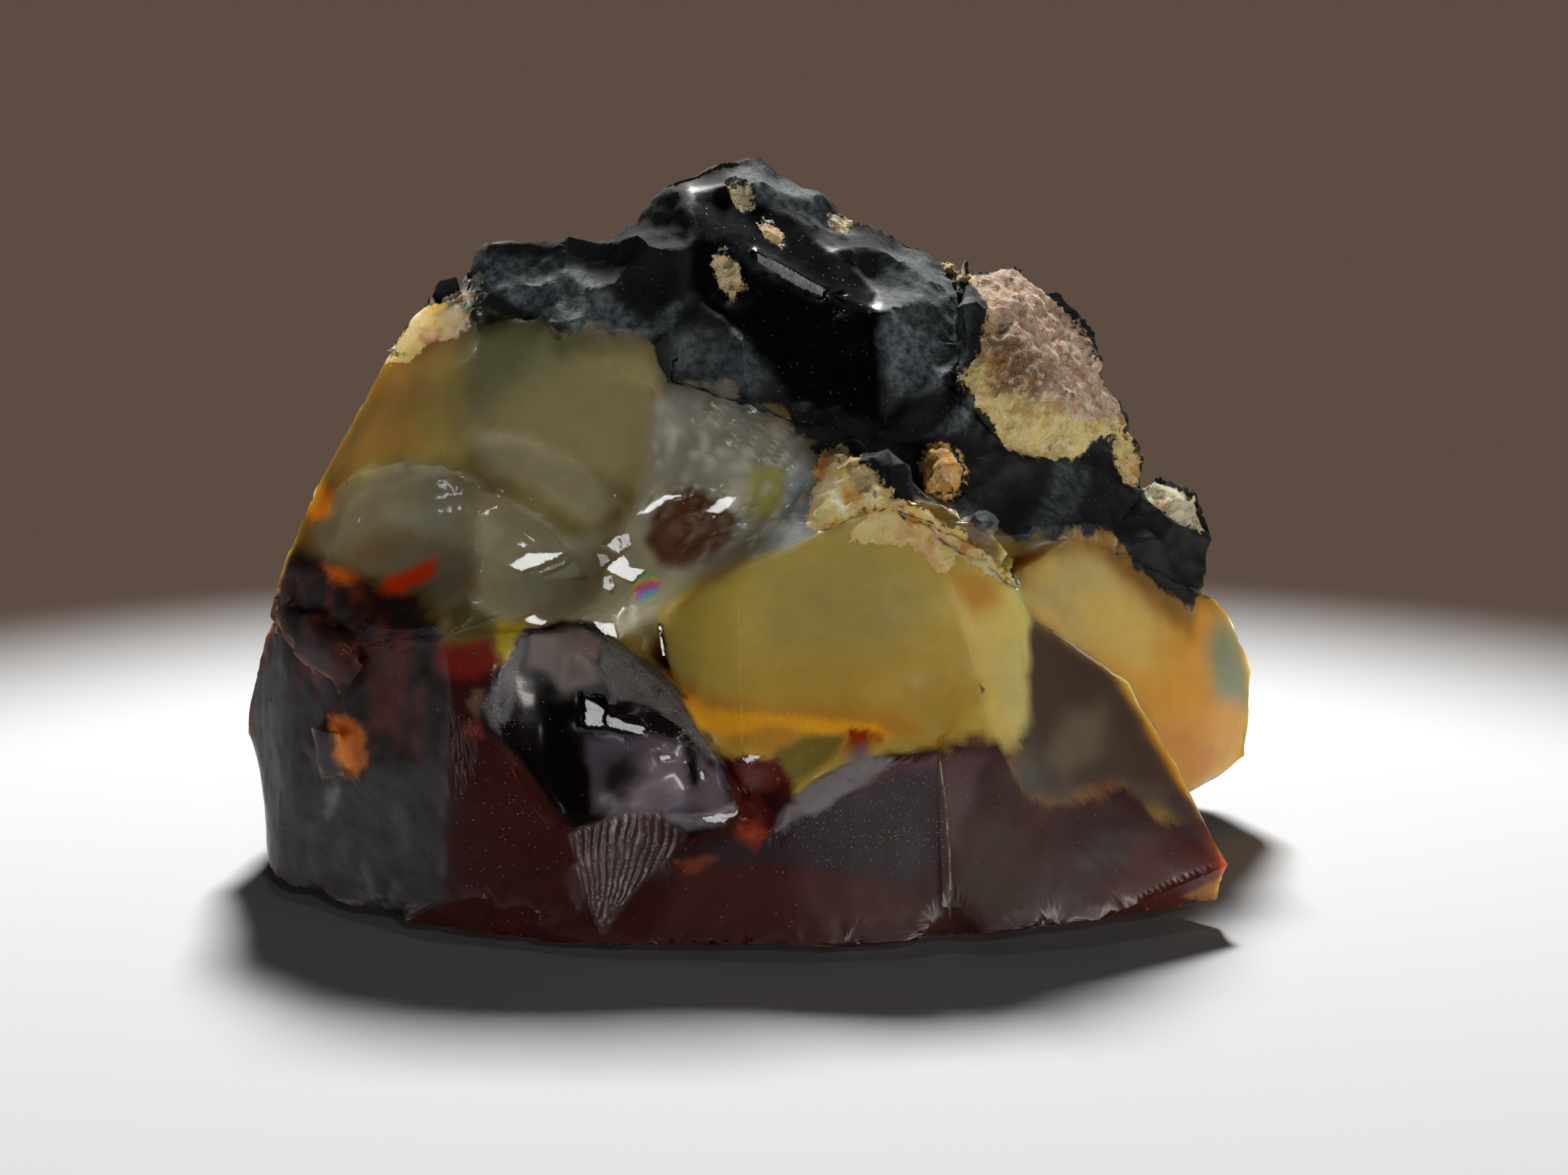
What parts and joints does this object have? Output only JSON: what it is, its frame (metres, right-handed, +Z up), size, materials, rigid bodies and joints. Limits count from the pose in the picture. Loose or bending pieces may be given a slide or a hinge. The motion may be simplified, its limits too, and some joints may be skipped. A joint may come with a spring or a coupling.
{
  "type": "rough fire opal",
  "caption": "Rough lump of banded fire opal: dark maroon base, honey middle, glossy black top and crumbly host-rock crusts, resting on a flat foot.",
  "frame": {"origin": "on the ground under the centre of the bounding box", "axes": "+X to the right along the longest side, -Y towards the viewer of the broken front face, +Z up"},
  "size_m": [0.0464, 0.031, 0.0311],
  "materials": {
    "banded_opal": "Glassy to waxy conchoidal fracture with dusty patches; dark maroon base band, honey-yellow translucent middle, black top, tan crumbly crusts."
  },
  "bodies": {
    "root": {"rough_fire_opal": "banded_opal"}
  },
  "joints": []
}
